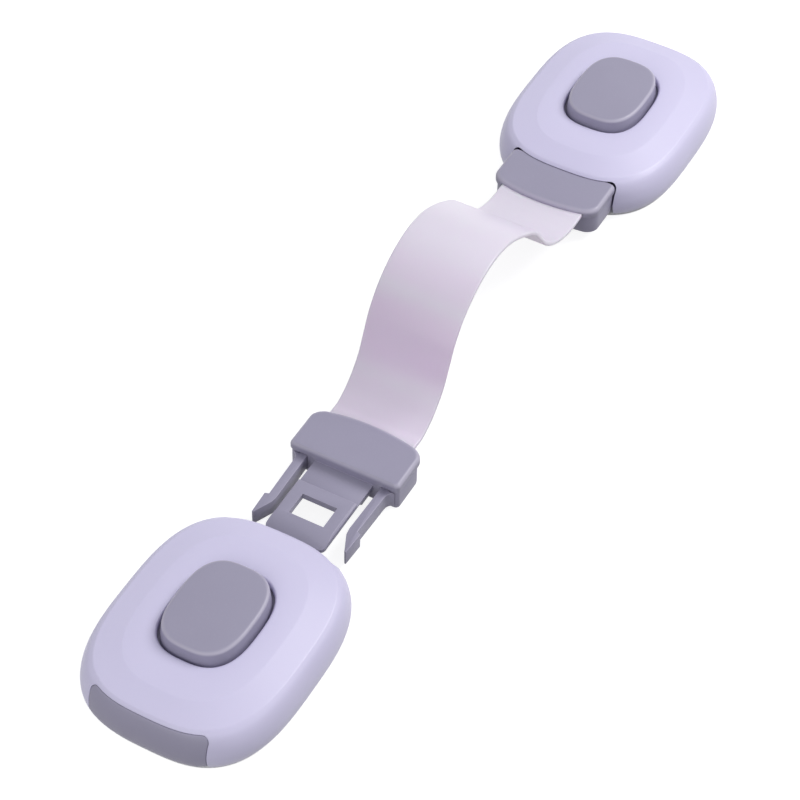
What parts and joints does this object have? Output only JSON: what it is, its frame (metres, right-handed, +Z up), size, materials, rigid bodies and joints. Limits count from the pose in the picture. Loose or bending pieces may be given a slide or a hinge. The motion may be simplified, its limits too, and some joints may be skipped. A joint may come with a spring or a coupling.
{
  "type": "cabinet safety lock",
  "caption": "Stick-on heads joined by a flexible strap whose barbed connectors plug into the heads; a top button and an end button release them.",
  "frame": {"origin": "on the surface that the lock lies on, midway between the two heads, under the strap", "axes": "+X runs along the strap from the near, unplugged head to the far head; +Z is up, out of the adhesive pads"},
  "size_m": [0.2228, 0.042, 0.0313],
  "materials": {
    "white_plastic": "satin",
    "grey_plastic": "satin",
    "strap_plastic": "soft satin",
    "foam": "matt foam",
    "spring_steel": "drawn wire"
  },
  "bodies": {
    "far_head": {"far_adhesive_pad": "foam", "far_base_plate": "white_plastic", "far_shell": "white_plastic", "far_button_spring": "spring_steel", "far_slider_spring": "spring_steel"},
    "far_button": {"far_push_button": "grey_plastic"},
    "far_latch": {"far_latch_leaf": "grey_plastic"},
    "far_release": {"far_release_slider": "grey_plastic"},
    "far_connector": {"far_connector_base": "grey_plastic", "far_connector_cover": "grey_plastic", "strap": "strap_plastic"},
    "far_arm_left": {"far_left_arm": "grey_plastic"},
    "far_arm_right": {"far_right_arm": "grey_plastic"},
    "near_connector": {"near_connector_base": "grey_plastic", "near_connector_cover": "grey_plastic"},
    "near_arm_left": {"near_left_arm": "grey_plastic"},
    "near_arm_right": {"near_right_arm": "grey_plastic"},
    "near_head": {"near_adhesive_pad": "foam", "near_base_plate": "white_plastic", "near_shell": "white_plastic", "near_button_spring": "spring_steel", "near_slider_spring": "spring_steel"},
    "near_button": {"near_push_button": "grey_plastic"},
    "near_latch": {"near_latch_leaf": "grey_plastic"},
    "near_release": {"near_release_slider": "grey_plastic"}
  },
  "joints": [
    {"name": "far_withdrawal", "type": "slide", "parent": "far_head", "child": "far_connector", "axis": [-1, 0, 0], "range_m": [0, 0.0245], "deforming": ["far_left_arm", "far_right_arm", "far_latch_leaf"]},
    {"name": "strap_flex", "type": "hinge", "parent": "far_connector", "child": "near_connector", "pos_m": [0.009, 0, 0.022], "axis": [0, 1, 0], "range_deg": [-90, 45], "deforming": ["strap"]},
    {"name": "near_insertion", "type": "slide", "parent": "near_connector", "child": "near_head", "axis": [0.9962, 0, -0.0874], "range_m": [0, 0.02459], "deforming": ["near_left_arm", "near_right_arm", "near_latch_leaf"]},
    {"name": "near_button_press", "type": "slide", "parent": "near_head", "child": "near_button", "axis": [0, 0, -1], "range_m": [0, 0.0018], "stiffness_N_per_m": 1190, "springref_m": -0.003, "deforming": ["near_button_spring"]},
    {"name": "near_release_press", "type": "slide", "parent": "near_head", "child": "near_release", "axis": [1, 0, 0], "range_m": [0, 0.0024], "stiffness_N_per_m": 1700, "springref_m": -0.0015, "deforming": ["near_slider_spring"]},
    {"name": "near_latch_flex", "type": "hinge", "parent": "near_head", "child": "near_latch", "pos_m": [-0.0969, 0, 0.0048], "axis": [0, 1, 0], "range_deg": [0, 4.1]},
    {"name": "far_button_press", "type": "slide", "parent": "far_head", "child": "far_button", "axis": [0, 0, -1], "range_m": [0, 0.0018], "stiffness_N_per_m": 1190, "springref_m": -0.003, "deforming": ["far_button_spring"]},
    {"name": "far_release_press", "type": "slide", "parent": "far_head", "child": "far_release", "axis": [-1, 0, 0], "range_m": [0, 0.0024], "stiffness_N_per_m": 1700, "springref_m": -0.0015, "deforming": ["far_slider_spring"]},
    {"name": "far_latch_flex", "type": "hinge", "parent": "far_head", "child": "far_latch", "pos_m": [0.0969, 0, 0.0048], "axis": [0, -1, 0], "range_deg": [0, 4.1]},
    {"name": "far_arm_left_flex", "type": "hinge", "parent": "far_connector", "child": "far_arm_left", "pos_m": [0.0602, 0.0094, 0.0049], "axis": [0, 0, -1], "range_deg": [0, 3]},
    {"name": "far_arm_right_flex", "type": "hinge", "parent": "far_connector", "child": "far_arm_right", "pos_m": [0.0602, -0.0094, 0.0049], "axis": [0, 0, 1], "range_deg": [0, 3]},
    {"name": "near_arm_left_squeeze", "type": "hinge", "parent": "near_connector", "child": "near_arm_left", "pos_m": [-0.0357, 0.0094, 0.00275], "axis": [0, 0, 1], "range_deg": [0, 3], "stiffness_Nm_per_rad": 0.5},
    {"name": "near_arm_right_squeeze", "type": "hinge", "parent": "near_connector", "child": "near_arm_right", "pos_m": [-0.0357, -0.0094, 0.00275], "axis": [0, 0, -1], "range_deg": [0, 3]}
  ],
  "couplings": [
    {"joint": "near_latch_flex", "follows": "near_button_press", "rad_per_m": 38.8},
    {"joint": "far_latch_flex", "follows": "far_button_press", "rad_per_m": 38.8},
    {"joint": "far_arm_left_flex", "follows": "far_release_press", "rad_per_m": 21.8},
    {"joint": "far_arm_right_flex", "follows": "far_release_press", "rad_per_m": 21.8},
    {"joint": "near_arm_right_squeeze", "follows": "near_arm_left_squeeze", "ratio": 1}
  ]
}
